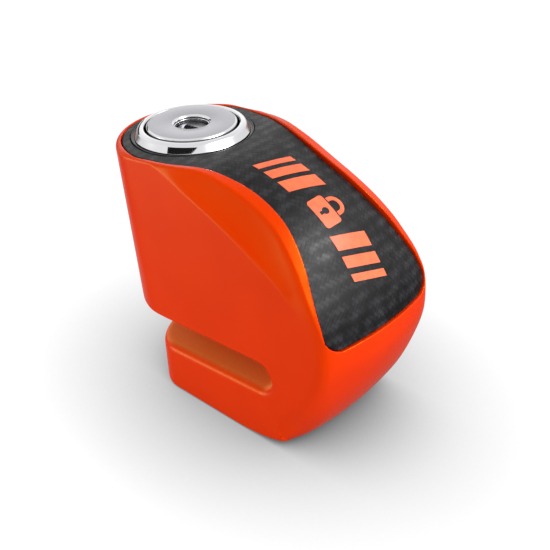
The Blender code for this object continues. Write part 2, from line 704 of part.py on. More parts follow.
def make_discs():
    pitch = DISC_THICKNESS + SPACER_THICKNESS + 2 * GAP
    for i in range(DISC_COUNT):
        low = DISC_STACK_BOTTOM + i * pitch
        high = low + DISC_THICKNESS
        notch = DISC_NOTCH_STEP * (1 + (i * 2) % 5)
        rim = arc(DISC_RADIUS, notch + 9, notch + 351, 38)
        rim += arc(DISC_RADIUS - 1.0, notch - 6, notch + 6, 3)
        disc = plate(f"detainer_disc_{i + 1}", [rim, half_moon(KEYWAY_RADIUS)], low, high)
        place(disc, BRASS, ROTOR)
        if i + 1 < DISC_COUNT:
            ring = tube_profile(3.6, DISC_RADIUS, high + GAP, high + GAP + SPACER_THICKNESS)
            place(turned(f"disc_spacer_{i + 1}", ring, 24), STEEL, ROTOR)


def make_balls():
    for name, side in (("latch_ball_left", -1), ("latch_ball_right", 1)):
        shell = bmesh.new()
        bmesh.ops.create_uvsphere(shell, u_segments=16, v_segments=10, radius=BALL_RADIUS * MM)
        mesh = bpy.data.meshes.new(name)
        shell.to_mesh(mesh)
        shell.free()
        mesh.shade_smooth()
        ball = bpy.data.objects.new(name, mesh)
        place(ball, HARD_STEEL, PLUNGER, (0, side * BALL_ORBIT, BALL_HEIGHT))


def guide(name, parent=None):
    empty = bpy.data.objects.new(name, None)
    PIECES.objects.link(empty)
    empty.parent = parent
    return empty


clear_scene()
PIECES = collection("disc_brake_lock")
CUTTERS = collection("cutters")
AXIS = guide("lock_axis")
AXIS.rotation_euler = (0, -LEAN, 0)
PLUNGER = guide("plunger_slide", AXIS)
ROTOR = guide("key_turn", PLUNGER)
SIDEBAR = guide("sidebar_slide", ROTOR)

make_casting(Profile(side_profile()))
make_ring()
make_sleeve()
make_spring()
make_plunger()
make_rotor()
make_discs()
make_balls()
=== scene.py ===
"""Looks of the push-down disc brake lock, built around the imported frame."""
import math

import bmesh
import bpy
import numpy as np
from mathutils import Matrix, Vector

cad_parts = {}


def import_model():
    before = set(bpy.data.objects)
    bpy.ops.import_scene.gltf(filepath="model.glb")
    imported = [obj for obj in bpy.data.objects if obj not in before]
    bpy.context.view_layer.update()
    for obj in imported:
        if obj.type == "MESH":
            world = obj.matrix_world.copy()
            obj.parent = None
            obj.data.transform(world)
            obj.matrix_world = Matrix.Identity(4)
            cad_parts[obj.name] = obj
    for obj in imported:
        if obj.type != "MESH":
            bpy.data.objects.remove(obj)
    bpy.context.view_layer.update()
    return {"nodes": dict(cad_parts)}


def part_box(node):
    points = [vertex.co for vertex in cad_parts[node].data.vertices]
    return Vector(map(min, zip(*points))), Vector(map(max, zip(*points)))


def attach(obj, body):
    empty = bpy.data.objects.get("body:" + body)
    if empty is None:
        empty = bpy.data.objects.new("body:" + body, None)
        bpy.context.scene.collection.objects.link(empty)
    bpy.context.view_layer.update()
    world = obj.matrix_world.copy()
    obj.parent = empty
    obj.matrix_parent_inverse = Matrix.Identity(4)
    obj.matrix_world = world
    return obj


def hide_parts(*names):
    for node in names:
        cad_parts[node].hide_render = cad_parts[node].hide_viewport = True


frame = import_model()
NODES = frame["nodes"]

MM = 0.001
LEAN = math.radians(3.7)
CL, SL = math.cos(LEAN), math.sin(LEAN)

# ---- the lock's dimensions in millimetres, as in the CAD source -------------------
HALF_WIDTH, TOP_HALF_WIDTH, TOP = 18.3, 17.8, 57.05
SLOT_FLOOR, SLOT_HEIGHT, SLOT_DEPTH = 11.5, 7.0, 36.8
SLOT_CEILING = SLOT_FLOOR + SLOT_HEIGHT
GAP = 0.3
RING_RADIUS, FACE_RADIUS, KEY_HOLE_RADIUS, PIN_RADIUS = 13.0, 10.2, 3.9, 3.0
BORE_RADIUS, BORE_FLOOR, BUSH_SEAT_RADIUS, JAW_HOLE_DEPTH = 11.8, 24.0, 4.7, 6.0
PANEL_THICKNESS, PANEL_CLEARANCE, RECESS_DEPTH, PANEL_HOLE_RADIUS = 1.0, 0.2, 1.9, 13.9
JAW_FILLET, NOSE_FILLET, FILLET_EXTRA = 0.5, 8.0, 0.2
REAR_CENTRE_LOW, REAR_RADIUS_LOW, REAR_CENTRE_TOP, REAR_RADIUS_TOP = 5.0, 18.6, 2.6, 19.05
JAW_CENTRE, JAW_REACH = 6.4, 11.0
SHOULDER_X, SHOULDER_RISE = 15.0, 0.25
BROW, BROW_SLOPE = np.array([43.9, 45.1]), math.radians(-53.5)
NOSE = np.array([52.7, 26.3])
FOOT, FOOT_SLOPE = np.array([39.6, 0.0]), math.radians(7.9)

# Pairs of a station and a value. A station is a distance along the side profile, 0 on the lock's
# axis and growing towards the nose. From station 88 the side edge's depths differ from the CAD body's.
PANEL_HALF_WIDTH = ((0, 16.75), (9, 15.75), (18, 12.75), (24, 11.45), (29, 10.8), (35, 10.85),
                    (40.5, 11.5), (50, 13.85), (58, 16.1), (63.6, 16.9))
SIDE_EDGE_DEPTH = ((5, -0.4), (10, 2.0), (16, 4.8), (25, 7.2), (34, 8.3), (43, 8.1), (52.7, 6.3),
                   (61.6, 4.2), (69, 3.2), (78, 2.8), (88, 3.6), (94, 4.6), (99, 3.8), (104, 1.6))
PANEL_BACK, PANEL_BACK_RADIUS, PANEL_END, PANEL_CORNER = -15.2, 16.95, 68.2, 4.4
CROWN_RADIUS, CROWN_RADIUS_NOSE, CROWN_RADIUS_LOW, CROWN_RADIUS_FOOT = 40.0, 63.5, 114.0, 80.0
CAP_BOTTOM, CAP_TOP = 57.6, 59.45

# ---- how the side profile is worked out ---------------------------------------------
# Handle lengths at the start and the end of its four curves, from the ring to the foot.
TOP_HANDLES, BACK_HANDLES, NOSE_HANDLES, CHIN_HANDLES = (5.0, 6.0), (15.0, 9.0), (7.85, 8.6), (8.06, 4.5)
TABLE_LEAD, UNDER_RUN = 45.0, 40.0     # straight runs before the first curve and after the last
TABLE_STEP = 0.1
GRID_SPAN = ((-30, 75), (-15, 75))     # x and z of the grid of nearest places


# ---- curves and fields ---------------------------------------------------------
def step(low, high, x):
    """0 below low, 1 above high and smooth between them."""
    t = np.clip((x - low) / (high - low), 0.0, 1.0)
    return t * t * (3 - 2 * t)


def through(knots, x):
    """Smooth curve through knots, level beyond its ends, for arrays."""
    kx = np.array([k[0] for k in knots], float)
    ky = np.array([k[1] for k in knots], float)
    slope = np.empty_like(ky)
    slope[1:-1] = (ky[2:] - ky[:-2]) / (kx[2:] - kx[:-2])
    slope[0] = (ky[1] - ky[0]) / (kx[1] - kx[0])
    slope[-1] = (ky[-1] - ky[-2]) / (kx[-1] - kx[-2])
    x = np.clip(x, kx[0], kx[-1])
    i = np.clip(np.searchsorted(kx, x, side="right") - 1, 0, len(kx) - 2)
    h = kx[i + 1] - kx[i]
    t = (x - kx[i]) / h
    return (ky[i] * (1 + 2 * t) * (1 - t) ** 2 + h * slope[i] * t * (1 - t) ** 2
            + ky[i + 1] * t * t * (3 - 2 * t) + h * slope[i + 1] * t * t * (t - 1))


def leaned(x, z):
    """World x and z of a point in the leaning lock frame."""
    return np.array([x * CL - z * SL, x * SL + z * CL])


def heading(angle):
    """Unit vector at an angle in the side view."""
    return np.array([math.cos(angle), math.sin(angle)])


def bezier(a, b, c, d, count):
    """Points along a cubic curve, without its first."""
    t = (np.arange(1, count + 1) / count)[:, None]
    u = 1 - t
    return a * u ** 3 + b * (3 * u * u * t) + c * (3 * u * t * t) + d * t ** 3


def side_table():
    """The side profile's points and unit tangents at even steps along it."""
    start, shoulder, along_top = leaned(0, TOP), leaned(SHOULDER_X, TOP + SHOULDER_RISE), heading(LEAN)
    brow, foot, down = heading(BROW_SLOPE), heading(FOOT_SLOPE), np.array([0.0, -1.0])
    rows = [leaned(-TABLE_LEAD, TOP)[None], start[None]]
    for a, leave, b, arrive, handles, count in (
            (start, along_top, shoulder, along_top, TOP_HANDLES, 120),
            (shoulder, along_top, BROW, brow, BACK_HANDLES, 240),
            (BROW, brow, NOSE, down, NOSE_HANDLES, 200),
            (NOSE, down, FOOT, -foot, CHIN_HANDLES, 240)):
        rows.append(bezier(a, a + leave * handles[0], b - arrive * handles[1], b, count))
    rows.append((FOOT - foot * UNDER_RUN)[None])
    raw = np.concatenate(rows)
    gaps = np.linalg.norm(np.diff(raw, axis=0), axis=1)
    length = np.concatenate([[0], np.cumsum(gaps)]) - TABLE_LEAD
    s = np.arange(-TABLE_LEAD, length[-1], TABLE_STEP)
    point = np.stack([np.interp(s, length, raw[:, k]) for k in (0, 1)], 1)
    tangent = np.gradient(point, s, axis=0)
    tangent /= np.linalg.norm(tangent, axis=1)[:, None]
    return s, np.concatenate([point, tangent], 1)


def nearest_grid():
    """Place along the side profile nearest to each point of a coarse grid."""
    x, z = np.meshgrid(*[np.arange(low, high + 1.0) for low, high in GRID_SPAN], indexing="ij")
    pick = np.arange(0, len(S_TAB), 8)
    gap = (x[..., None] - PATH[pick, 0]) ** 2 + (z[..., None] - PATH[pick, 1]) ** 2
    return S_TAB[pick[gap.argmin(-1)]]


S_TAB, PATH = side_table()
NEAREST = nearest_grid()
FOOT_STATION = S_TAB[-1] - UNDER_RUN


def on_path(s):
    """Point and tangent of the side profile at distance s, as four columns."""
    at = np.clip((s - S_TAB[0]) / TABLE_STEP, 0, len(S_TAB) - 1.001)
    i = at.astype(int)
    share = (at - i)[:, None]
    return (PATH[i] * (1 - share) + PATH[i + 1] * share).T


def along(x, z):
    """Distance along the side profile of the nearest point, and height above the profile."""
    shape = np.shape(x)
    x, z = np.ravel(x), np.ravel(z)
    (x0, x1), (z0, z1) = GRID_SPAN
    s = NEAREST[np.rint(np.clip(x, x0, x1) - x0).astype(int), np.rint(np.clip(z, z0, z1) - z0).astype(int)]
    for _ in range(4):
        px, pz, tx, tz = on_path(s)
        s = np.clip(s + (x - px) * tx + (z - pz) * tz, S_TAB[0], S_TAB[-1])
    px, pz, tx, tz = on_path(s)
    d = ((z - pz) * tx - (x - px) * tz) / np.hypot(tx, tz)
    return s.reshape(shape), d.reshape(shape)


def crown(s, y):
    """How far the crowned top falls away at half width y."""
    bend = step(14.6, 34, s) / CROWN_RADIUS
    bend = bend + step(44, 60, s) * (1 / CROWN_RADIUS_NOSE - 1 / CROWN_RADIUS)
    bend = bend + step(70, 95, s) * (1 / CROWN_RADIUS_LOW - 1 / CROWN_RADIUS_NOSE)
    bend = bend + step(84, 101, s) * (1 / CROWN_RADIUS_FOOT - 1 / CROWN_RADIUS_LOW)
    return bend * y * y / 2


def rim_height(s):
    """How far the painted rim stands above the panel."""
    high = 0.15 + 0.35 * step(0, 20, s) + 0.6 * step(16, 34, s) - 0.5 * step(46, 62, s)
    return high * (1 - step(66, 80, s))


def shoulder_width(s):
    """Half width of the top where it breaks into the hollow along each side."""
    rim = 1.5 + 1.0 * step(0, 16, s) + 0.8 * step(14, 30, s) - 0.6 * step(42, 56, s)
    room = HALF_WIDTH - through(PANEL_HALF_WIDTH, s) - rim
    upper = HALF_WIDTH - 0.2 - (room + np.sqrt(room ** 2 + 1.4)) / 2
    return upper + (12.0 - upper) * step(62, 76, s)


def body_depth(s, y):
    """Depth of the skin under the side profile; the break beside the rim is softened."""
    edge = shoulder_width(s)
    drop = through(SIDE_EDGE_DEPTH, s) - crown(s, HALF_WIDTH) + rim_height(s)
    soft = 0.3 + 0.6 * step(2, 16, s)
    past = np.maximum(y - edge + soft / 2, 0.0)
    past = np.where(past < soft, past ** 2 / (2 * soft), past - soft / 2)
    t = past / (HALF_WIDTH - edge)
    hollow = 0.75 * (1 - (1 - np.minimum(t, 1.0)) ** 2) + 0.25 * t
    share = step(54, 72, s)
    depth = crown(s, y) - rim_height(s) + drop * (hollow * (1 - share) + t * t * share)
    return depth * (1 - step(FOOT_STATION - 2, FOOT_STATION + 6, s))


def soft_max(a, b, k):
    """The larger of two values, with the break blended where they differ by less than k."""
    h = np.maximum(k - np.abs(a - b), 0.0) / k
    return np.maximum(a, b) + h * h * k / 4


def round_max(a, b, r):
    """Intersection of two walls with a fillet of radius r where they are square."""
    return np.minimum(np.maximum(a, b), -r) + np.hypot(np.maximum(a + r, 0), np.maximum(b + r, 0))


def panel_outline(s, y):
    """Signed distance to the panel's outline in its own unrolled plane."""
    centre = PANEL_BACK + PANEL_BACK_RADIUS
    rear = np.hypot(s - centre, y) - PANEL_BACK_RADIUS
    slope = (through(PANEL_HALF_WIDTH, s + 0.2) - through(PANEL_HALF_WIDTH, s - 0.2)) / 0.4
    side = (y - through(PANEL_HALF_WIDTH, s)) / np.sqrt(1 + slope ** 2)
    share = step(-1.5, 5.0, s)
    edge = rear * (1 - share) + side * share
    return np.where(s > 40, round_max(edge, s - PANEL_END, PANEL_CORNER), edge)


FLAT = {}    # station and height above the profile at each point of the grid being meshed


def casting(x, y, z):
    """Signed field of the casting, negative inside."""
    y = np.abs(y)
    s, d = along(x, z) if np.ndim(x) < 3 else (FLAT["s"], FLAT["d"])
    xp, zp = x * CL + z * SL, z * CL - x * SL
    depth = body_depth(s, y)
    slope = (body_depth(s, y + 0.05) - body_depth(s, y - 0.05)) / 0.1
    top = (d + depth) / np.sqrt(1 + slope ** 2)

    # The upper block and the jaw differ in their outline seen from above.
    up = (z - SLOT_CEILING) / (TOP - SLOT_CEILING)
    centre = REAR_CENTRE_LOW + (REAR_CENTRE_TOP - REAR_CENTRE_LOW) * up
    radius = REAR_RADIUS_LOW + (REAR_RADIUS_TOP - REAR_RADIUS_LOW) * up
    half = HALF_WIDTH + (TOP_HALF_WIDTH - HALF_WIDTH) * up
    rear = np.hypot(np.minimum(xp - centre, 0), y) - radius
    upper = soft_max(rear, y - half, 0.6)
    ex, ey = np.minimum(xp - JAW_CENTRE, 0) / JAW_REACH, y / HALF_WIDTH
    ring = np.hypot(ex, ey) + 1e-9
    tip = ring * (ring - 1) / (np.hypot(ex / JAW_REACH, ey / HALF_WIDTH) + 1e-9)
    jaw = np.where(xp < JAW_CENTRE, tip, y - HALF_WIDTH)
    plan = jaw + (upper - jaw) * step(SLOT_FLOOR + 1, SLOT_CEILING - 1, zp)
    lower = JAW_FILLET + FILLET_EXTRA + (NOSE_FILLET - JAW_FILLET) * step(26, 60, x)
    block = round_max(plan, -z, lower)
    crease = 0.45 + 0.85 * (1 - step(-4, 8, s)) + 1.9 * step(58, 78, s)
    solid = soft_max(top, block, crease)

    middle = SLOT_FLOOR + SLOT_HEIGHT / 2
    run = np.maximum(xp - (SLOT_DEPTH - SLOT_HEIGHT / 2), 0)
    slot = np.hypot(run, zp - middle) - SLOT_HEIGHT / 2
    lip = 1.9 - 1.3 * step(middle - 2, middle + 2, zp)
    solid = soft_max(solid, -slot, lip)

    # The panel's recess, the bore with the bush's seat, and the pin's blind hole in the jaw.
    recess = np.maximum(panel_outline(s, y) - PANEL_CLEARANCE, -(d + crown(s, y) + RECESS_DEPTH))
    solid = soft_max(solid, -recess, 0.35)
    away = np.hypot(xp, y)
    bore = np.maximum(away - BORE_RADIUS, BORE_FLOOR - zp)
    bore = np.minimum(bore, np.maximum(away - BUSH_SEAT_RADIUS, SLOT_FLOOR + 3 - zp))
    pin = np.maximum(away - PIN_RADIUS - GAP, SLOT_FLOOR - JAW_HOLE_DEPTH - zp)
    return soft_max(solid, -np.minimum(bore, pin), 0.25)


def panel(x, y, z):
    """Signed field of the carbon panel, negative inside."""
    y = np.abs(y)
    s, d = along(x, z) if np.ndim(x) < 3 else (FLAT["s"], FLAT["d"])
    high = d + crown(s, y)
    sheet = np.maximum(soft_max(panel_outline(s, y), high, 0.3), -(high + PANEL_THICKNESS))
    xp = x * CL + z * SL
    return soft_max(sheet, PANEL_HOLE_RADIUS - np.hypot(xp, y), 0.3)


# ---- meshing --------------------------------------------------------------------
MOST_TRIANGLES = 190000
GRADIENT_REACH = 0.06            # millimetres to either side of a point
CORNERS = [(i, j, k) for i in (0, 1) for j in (0, 1) for k in (0, 1)]


def gradient(field, v):
    out = np.empty_like(v)
    for k in range(3):
        a, b = v.copy(), v.copy()
        a[:, k] -= GRADIENT_REACH
        b[:, k] += GRADIENT_REACH
        out[:, k] = (field(*b.T) - field(*a.T)) / (2 * GRADIENT_REACH)
    return out


def grid_values(field, low, high, size):
    """The field on a grid, mirrored in Y = 0, and the grid's first corner."""
    xs = np.arange(low[0] - 2 * size, high[0] + 3 * size, size)
    half = np.arange(0, high[1] + 3 * size, size)
    zs = np.arange(low[2] - 2 * size, high[2] + 3 * size, size)
    s2, d2 = along(*np.meshgrid(xs, zs, indexing="ij"))
    FLAT["s"], FLAT["d"] = s2[:, None, :], d2[:, None, :]
    value = field(xs[:, None, None], half[None, :, None], zs[None, None, :])
    value = np.concatenate([value[:, :0:-1], value], axis=1)
    return np.where(np.abs(value) < 1e-6, 1e-6, value), np.array([xs[0], -half[-1], zs[0]])


def net_points(value, cells):
    """The middle of the crossed edges of each cell, counted in cells from the first corner."""
    total, hits = np.zeros((len(cells), 3)), np.zeros(len(cells))
    for a in CORNERS:
        for axis in range(3):
            if a[axis]:
                continue
            b = list(a)
            b[axis] = 1
            va = value[tuple((cells + a).T)]
            vb = value[tuple((cells + b).T)]
            cross = (va < 0) != (vb < 0)
            t = np.where(cross, va / np.where(cross, va - vb, 1.0), 0.0)
            spot = np.tile(np.array(a, float), (len(cells), 1))
            spot[:, axis] += t
            total[cross] += spot[cross]
            hits[cross] += 1
    return cells + total / hits[:, None]


def net_faces(inside, ids):
    """A quad round each grid edge that the surface crosses, facing outwards."""
    faces = []
    for axis in range(3):
        u, w = (axis + 1) % 3, (axis + 2) % 3
        head = [slice(None)] * 3
        tail = [slice(None)] * 3
        head[axis], tail[axis] = slice(0, -1), slice(1, None)
        a, b = inside[tuple(head)], inside[tuple(tail)]
        spots = np.argwhere(a != b)
        spots = spots[(spots[:, u] > 0) & (spots[:, w] > 0)
                      & (spots[:, u] < ids.shape[u]) & (spots[:, w] < ids.shape[w])]
        flip = a[tuple(spots.T)]
        quad = []
        for du, dw in ((1, 1), (0, 1), (0, 0), (1, 0)):
            at = spots.copy()
            at[:, u] -= du
            at[:, w] -= dw
            quad.append(ids[tuple(at.T)])
        quad = np.stack(quad, 1)
        quad[~flip] = quad[~flip][:, ::-1]
        faces.append(quad)
    return np.concatenate(faces)


def surface_net(name, field, low, high, size):
    """Closed mesh of a field's zero surface, symmetric about Y = 0."""
    value, origin = grid_values(field, low, high, size)
    inside = value < 0
    nx, ny, nz = np.array(value.shape) - 1
    count = sum(inside[i:nx + i, j:ny + j, k:nz + k].astype(np.int8) for i, j, k in CORNERS)
    cells = np.argwhere((count > 0) & (count < len(CORNERS)))
    ids = np.full((nx, ny, nz), -1, np.int32)
    ids[tuple(cells.T)] = np.arange(len(cells))
    verts = settle(field, origin + net_points(value, cells) * size, 0.6 * size)
    faces = net_faces(inside, ids)
    obj = numpy_mesh(name, verts, faces)
    if 2 * len(faces) > MOST_TRIANGLES:
        thin(obj, MOST_TRIANGLES / (2 * len(faces)))
        verts = settle(field, positions(obj), 0.3 * size)
        obj.data.vertices.foreach_set("co", (verts * MM).astype(np.float32).ravel())
    obj.data.normals_split_custom_set_from_vertices([tuple(n) for n in outward(field, verts)])
    return obj


def settle(field, verts, limit):
    """Moves points onto the field's zero surface, none further than the limit."""
    start = verts.copy()
    for _ in range(3):
        g = gradient(field, verts)
        f = field(*verts.T)
        verts = verts - g * (f / np.maximum((g * g).sum(1), 0.05))[:, None] * 0.9
        verts = start + np.clip(verts - start, -limit, limit)
    return verts


def outward(field, verts):
    """Unit normals of the field's surface."""
    g = gradient(field, verts)
    return g / np.maximum(np.linalg.norm(g, axis=1), 1e-9)[:, None]


def positions(obj):
    """The mesh's points in millimetres."""
    co = np.empty(len(obj.data.vertices) * 3)
    obj.data.vertices.foreach_get("co", co)
    return co.reshape(-1, 3) / MM


def thin(obj, ratio):
    """Merges faces where the surface is flat."""
    obj.modifiers.new("thin", "DECIMATE").ratio = ratio
    apply_modifiers(obj)
    obj.data.shade_smooth()


def apply_modifiers(obj):
    shape = obj.evaluated_get(bpy.context.evaluated_depsgraph_get())
    mesh = bpy.data.meshes.new_from_object(shape)
    obj.modifiers.clear()
    obj.data = mesh


def new_object(name, data):
    obj = bpy.data.objects.new(name, data)
    bpy.context.scene.collection.objects.link(obj)
    return obj


def numpy_mesh(name, verts, faces):
    """Smooth mesh object from arrays of points, in mm, and of faces with equal corner counts."""
    mesh = bpy.data.meshes.new(name)
    mesh.vertices.add(len(verts))
    mesh.vertices.foreach_set("co", (np.asarray(verts) * MM).astype(np.float32).ravel())
    faces = np.asarray(faces, np.int32)
    mesh.loops.add(faces.size)
    mesh.loops.foreach_set("vertex_index", faces.ravel())
    mesh.polygons.add(len(faces))
    mesh.polygons.foreach_set("loop_start", np.arange(0, faces.size, faces.shape[1], dtype=np.int32))
    mesh.update(calc_edges=True)
    mesh.validate()
    mesh.shade_smooth()
    return new_object(name, mesh)


def world_of(r_x, r_y, r_z):
    """World points, in mm, of coordinates in the leaning lock frame."""
    return np.stack([r_x * CL - r_z * SL, r_y + 0 * r_x, r_x * SL + r_z * CL], -1)


def rounded(profile, radius, count=4):
    """A closed turned profile with its corners rounded off."""
    p = np.array(profile, float)
    out = []
    for i in range(len(p)):
        a, b, c = p[i - 1], p[i], p[(i + 1) % len(p)]
        r = min(radius, np.linalg.norm(a - b) * 0.45, np.linalg.norm(c - b) * 0.45)
        start, end = b + (a - b) / np.linalg.norm(a - b) * r, b + (c - b) / np.linalg.norm(c - b) * r
        if min(a[0], b[0], c[0]) < 1e-6 and b[0] < 1e-6:
            out.append(b)
            continue
        for t in np.linspace(0, 1, count):
            out.append(start * (1 - t) ** 2 + b * 2 * t * (1 - t) + end * t * t)
    return np.array(out)


def lathe(name, profile, steps, smooth_angle=32):
    """Turned solid about the leaning axis from a closed profile of (radius, height)."""
    p = np.array(profile, float)
    angle = np.arange(steps) / steps * 2 * math.pi
    x = p[None, :, 0] * np.cos(angle)[:, None]
    y = p[None, :, 0] * np.sin(angle)[:, None]
    z = np.broadcast_to(p[None, :, 1], x.shape)
    verts = world_of(x, y, z).reshape(-1, 3)
    n = len(p)
    i, j = np.meshgrid(np.arange(steps), np.arange(n), indexing="ij")
    i2, j2 = (i + 1) % steps, (j + 1) % n
    faces = np.stack([i * n + j, i2 * n + j, i2 * n + j2, i * n + j2], -1).reshape(-1, 4)
    keep = ~((p[faces[:, 0] % n, 0] < 1e-6) & (p[faces[:, 2] % n, 0] < 1e-6))
    obj = numpy_mesh(name, verts, faces[keep])
    tidy(obj, smooth_angle)
    return obj


def tidy(obj, smooth_angle=32):
    """Welds the mesh, turns its faces outwards and shades it."""
    shell = bmesh.new()
    shell.from_mesh(obj.data)
    bmesh.ops.remove_doubles(shell, verts=shell.verts, dist=1e-7)
    bmesh.ops.dissolve_degenerate(shell, edges=shell.edges, dist=1e-8)
    bmesh.ops.recalc_face_normals(shell, faces=shell.faces)
    shell.to_mesh(obj.data)
    shell.free()
    obj.data.shade_smooth()
    obj.data.set_sharp_from_angle(angle=math.radians(smooth_angle))


def on_panel(s, y, lift):
    """World points, in mm, on the panel's crowned face."""
    s, y = np.asarray(s, float), np.asarray(y, float)
    px, pz, tx, tz = on_path(s)
    h = lift - crown(s, y)
    return np.stack([px - tz * h, y, pz + tx * h], -1)


# ---- materials --------------------------------------------------------------------
class Nodes:
    """Small helper round one material's node tree."""

    def __init__(self, name, colour, roughness, metallic=0.0, **extra):
        self.material = bpy.data.materials.new(name)
        self.material.use_nodes = True
        self.tree = self.material.node_tree
        self.shader = self.tree.nodes["Principled BSDF"]
        self.set(**{"Base Color": (*colour, 1.0), "Roughness": roughness, "Metallic": metallic})
        self.set(**{k.replace("_", " "): v for k, v in extra.items()})
        self.where = self.tree.nodes.new("ShaderNodeTexCoord").outputs["Object"]

    def set(self, **values):
        for key, value in values.items():
            self.shader.inputs[key].default_value = value

    def fill(self, socket, value):
        if isinstance(value, bpy.types.NodeSocket):
            self.tree.links.new(value, socket)
        else:
            socket.default_value = value

    def add(self, kind, **inputs):
        node = self.tree.nodes.new(kind)
        for key, value in inputs.items():
            self.fill(node.inputs[key.replace("_", " ")], value)
        return node

    def math(self, operation, *values):
        node = self.tree.nodes.new("ShaderNodeMath")
        node.operation = operation
        for socket, value in zip(node.inputs, values):
            self.fill(socket, value)
        return node.outputs[0]

    def link(self, source, key):
        self.tree.links.new(source, self.shader.inputs[key])

    def noise(self, scale, detail=2.0, roughness=0.5, where=None, stretch=None):
        where = where or self.where
        if stretch is not None:
            where = self.add("ShaderNodeMapping", Vector=where, Scale=stretch).outputs[0]
        return self.add("ShaderNodeTexNoise", Vector=where, Scale=scale, Detail=detail,
                        Roughness=roughness).outputs["Fac"]

    def ramp(self, fac, stops):
        node = self.add("ShaderNodeValToRGB", Fac=fac)
        while len(node.color_ramp.elements) < len(stops):
            node.color_ramp.elements.new(0.5)
        for element, (at, colour) in zip(node.color_ramp.elements, stops):
            element.position = at
            element.color = (*colour, 1.0)
        return node.outputs["Color"]

    def spread(self, value, low, high, start=0.0, end=1.0):
        return self.add("ShaderNodeMapRange", Value=value, From_Min=start, From_Max=end,
                        To_Min=low, To_Max=high).outputs[0]

    def mix(self, share, a, b):
        node = self.tree.nodes.new("ShaderNodeMix")
        node.data_type = "RGBA"
        self.fill(node.inputs["Factor"], share)
        for key, value in (("A", a), ("B", b)):
            socket = [s for s in node.inputs if s.name == key and s.type == "RGBA"][0]
            self.fill(socket, value if isinstance(value, bpy.types.NodeSocket) else (*value, 1.0))
        return [s for s in node.outputs if s.type == "RGBA"][0]

    def bump(self, height, distance, strength=1.0):
        self.link(self.add("ShaderNodeBump", Height=height, Distance=distance, Strength=strength).outputs[0],
                  "Normal")

    def lock_frame(self):
        """The point's x', y, z' in the leaning lock frame, in metres."""
        upright = self.add("ShaderNodeMapping", Vector=self.where, Rotation=(0, LEAN, 0)).outputs[0]
        parts = self.add("ShaderNodeSeparateXYZ", Vector=upright)
        return parts.outputs["X"], parts.outputs["Y"], parts.outputs["Z"]


def slot_brown_share(m):
    """1 on the walls of the disc slot, which are coloured browner and duller, and 0 outside."""
    x, y, z = m.lock_frame()
    low = m.spread(z, 0.0, 1.0, (SLOT_FLOOR - 0.5) * MM, (SLOT_FLOOR + 0.1) * MM)
    high = m.spread(z, 1.0, 0.0, (SLOT_CEILING - 0.1) * MM, (SLOT_CEILING + 0.5) * MM)
    deep = m.spread(x, 1.0, 0.0, (SLOT_DEPTH + 0.1) * MM, (SLOT_DEPTH + 0.5) * MM)
    inside = m.spread(m.math("ABSOLUTE", y), 1.0, 0.0, (HALF_WIDTH - 1.6) * MM, (HALF_WIDTH - 0.5) * MM)
    return m.math("MULTIPLY", m.math("MULTIPLY", low, high), m.math("MULTIPLY", deep, inside))


def paint_material():
    """Satin orange enamel over zinc: slight orange peel, tone drift, and a browner, duller colour on the
    slot's walls.
    """
    m = Nodes("orange_paint", ORANGE, 0.25, Specular_IOR_Level=0.36, Specular_Tint=(0.9, 0.66, 0.03, 1.0))
    tone = m.ramp(m.noise(60.0, 3.0), [(0.3, (0.46, 0.0185, 0.0002)), (0.7, (0.49, 0.0215, 0.0004))])
    speck = m.noise(2600.0, 2.0, 0.6)
    # The slot's walls take this browner, less saturated colour in place of the orange.
    slot_brown = m.ramp(speck, [(0.35, (0.68, 0.185, 0.034)), (0.7, (0.76, 0.215, 0.043))])
    share = slot_brown_share(m)
    m.link(m.mix(share, tone, slot_brown), "Base Color")
    satin = m.spread(m.noise(420.0, 2.0), 0.21, 0.29)
    m.link(m.math("ADD", satin, m.math("MULTIPLY", share, 0.2)), "Roughness")
    m.bump(m.math("ADD", m.noise(700.0, 1.5), m.math("MULTIPLY", speck, 0.25)), 0.00003, 0.25)
    return m.material


